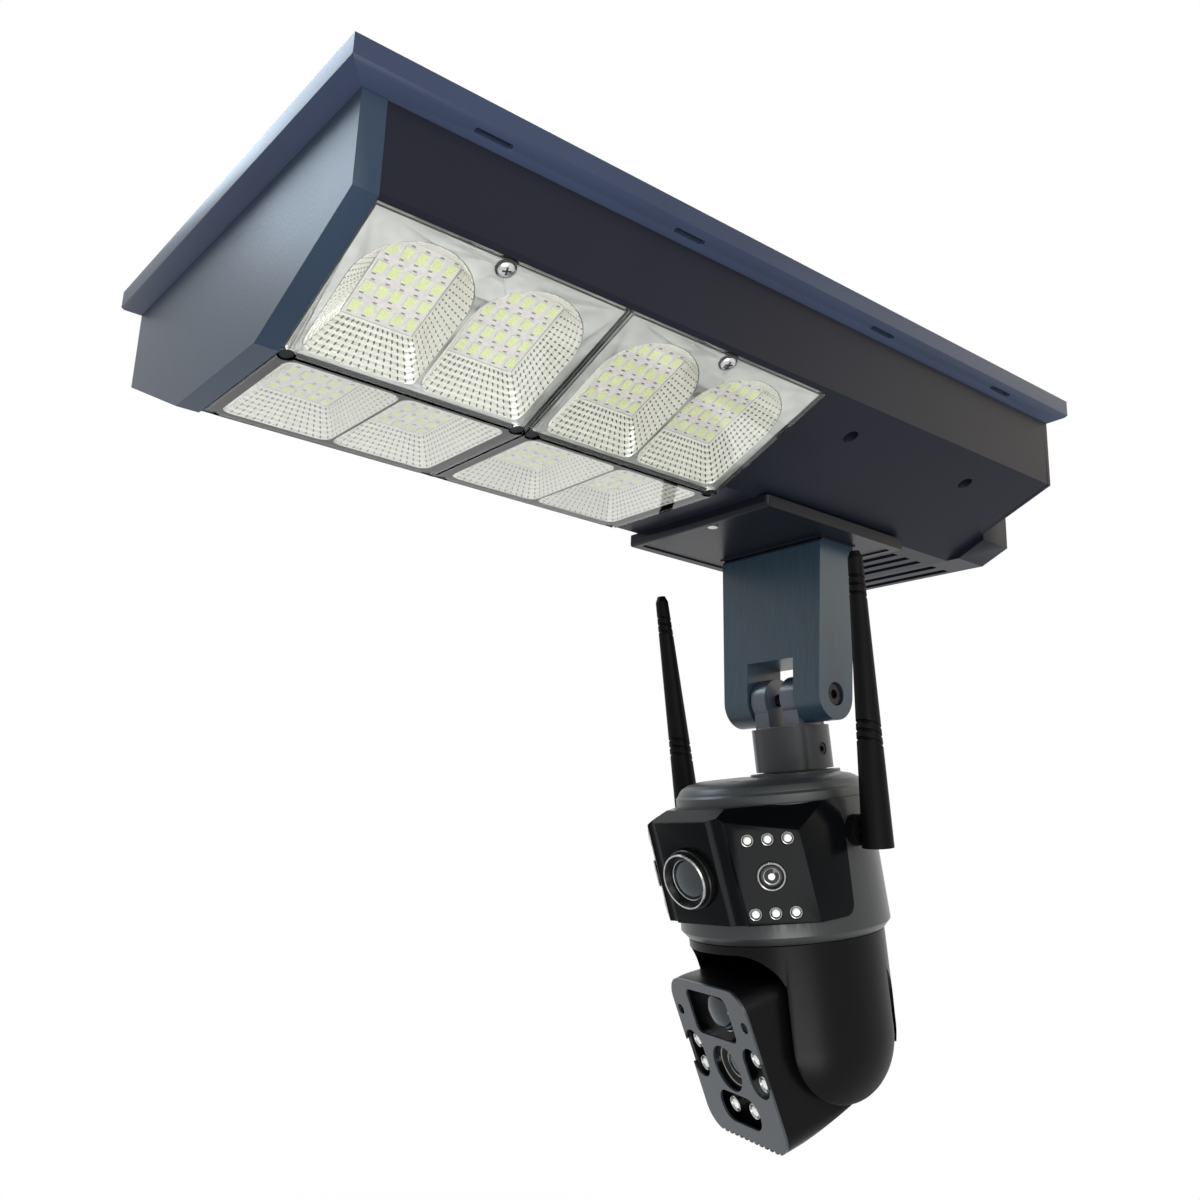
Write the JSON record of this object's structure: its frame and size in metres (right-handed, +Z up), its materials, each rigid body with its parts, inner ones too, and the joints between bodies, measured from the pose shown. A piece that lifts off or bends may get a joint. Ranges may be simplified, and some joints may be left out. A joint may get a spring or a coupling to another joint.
{
  "type": "solar street lamp",
  "caption": "Pole-top solar street lamp with a panel over a faceted housing, clear lens covers, a cast bracket and a hanging pan-and-tilt camera with folding antennas.",
  "frame": {"origin": "centre of the pole socket's mouth on the rear of the lamp", "axes": "+X out of the socket's mouth towards the pole, +Y towards the lamp's far side, +Z up towards the solar panel"},
  "size_m": [0.5374, 0.2776, 0.4583],
  "materials": {
    "tray": "satin",
    "panel_glass": "polished",
    "cells": "laminated cells",
    "housing": "fine texture",
    "end_plate": "coarse texture",
    "cast": "semi-gloss paint",
    "steel": "zinc plated",
    "black_screw": "blackened",
    "inner": "moulded",
    "reflector": "metallised",
    "led_board": "solder mask",
    "cover": "clear polycarbonate",
    "seal": "silicone",
    "cells_metal": "sleeved",
    "circuit": "solder mask",
    "bezel": "stainless",
    "black": "gloss",
    "fork": "grey paint",
    "camera_grey": "satin",
    "lens": "gloss",
    "lens_ring": "satin",
    "led": "clear",
    "face": "gloss",
    "antenna": "satin"
  },
  "bodies": {
    "lamp": {"panel_tray": "tray", "panel_glass": "panel_glass", "solar_cells": "cells", "housing": "housing", "front_cap": "end_plate", "rear_plate": "end_plate", "pole_socket": "cast", "pole_clamp_bolts": "steel", "case_screws": "steel", "rear_screws": "steel", "led_frame": "inner", "reflectors_near": "reflector", "reflectors_bottom": "reflector", "reflectors_far": "reflector", "led_boards_near": "led_board", "led_boards_bottom": "led_board", "led_boards_far": "led_board", "cover_near_a": "cover", "cover_near_b": "cover", "cover_bottom_a": "cover", "cover_bottom_b": "cover", "cover_far_a": "cover", "cover_far_b": "cover", "cover_seals": "seal", "cover_screws": "steel", "ridge_screws": "black_screw", "service_lid": "housing", "lid_screws": "steel", "battery_cells": "cells_metal", "battery_cradle": "inner", "charge_controller": "circuit", "camera_bracket": "cast", "bracket_screws": "steel", "pivot_bolt": "steel", "pivot_washers": "seal", "button_bezel": "bezel"},
    "power_button": {"power_button": "black"},
    "neck": {"tilt_fork": "fork", "neck_collar": "fork", "collar_screws": "black_screw"},
    "camera": {"camera_cap": "camera_grey", "cap_screws": "black_screw", "upper_body": "camera_grey", "sensor_block": "black", "front_lens": "lens", "side_lenses": "lens_ring", "block_leds": "led", "antenna_mounts": "antenna"},
    "pan": {"pan_body": "black"},
    "head": {"head_shell": "black", "head_face": "face", "head_carrier": "inner", "zoom_lens": "lens", "head_lens": "lens", "head_leds": "led"},
    "antenna_near": {"antenna_near": "antenna"},
    "antenna_far": {"antenna_far": "antenna"}
  },
  "joints": [
    {"name": "power_press", "type": "slide", "parent": "lamp", "child": "power_button", "axis": [-1, 0, 0], "range_m": [0, 0.0022], "stiffness_N_per_m": 500, "springref_m": -0.001},
    {"name": "bracket_tilt", "type": "hinge", "parent": "lamp", "child": "neck", "pos_m": [-0.1314, 0, -0.1425], "axis": [0, 1, 0], "range_deg": [-35, 54]},
    {"name": "neck_swivel", "type": "hinge", "parent": "neck", "child": "camera", "pos_m": [-0.12562, 0, -0.17702], "axis": [-0.165, 0, 0.9863], "range_deg": [-90, 90]},
    {"name": "camera_pan", "type": "hinge", "parent": "camera", "child": "pan", "pos_m": [-0.1341, 0, -0.28388], "axis": [-0.165, 0, 0.9863], "range_deg": [-160, 188]},
    {"name": "camera_tilt", "type": "hinge", "parent": "pan", "child": "head", "pos_m": [-0.12486, 0, -0.33912], "axis": [0.2386, 0.9703, 0.0399], "range_deg": [-75, 10]},
    {"name": "antenna_near_hinge", "type": "hinge", "parent": "camera", "child": "antenna_near", "pos_m": [-0.14187, -0.0753, -0.22536], "axis": [0, 1, 0], "range_deg": [-90, 90]},
    {"name": "antenna_far_hinge", "type": "hinge", "parent": "camera", "child": "antenna_far", "pos_m": [-0.14187, 0.0753, -0.22536], "axis": [0, 1, 0], "range_deg": [-90, 90]}
  ]
}
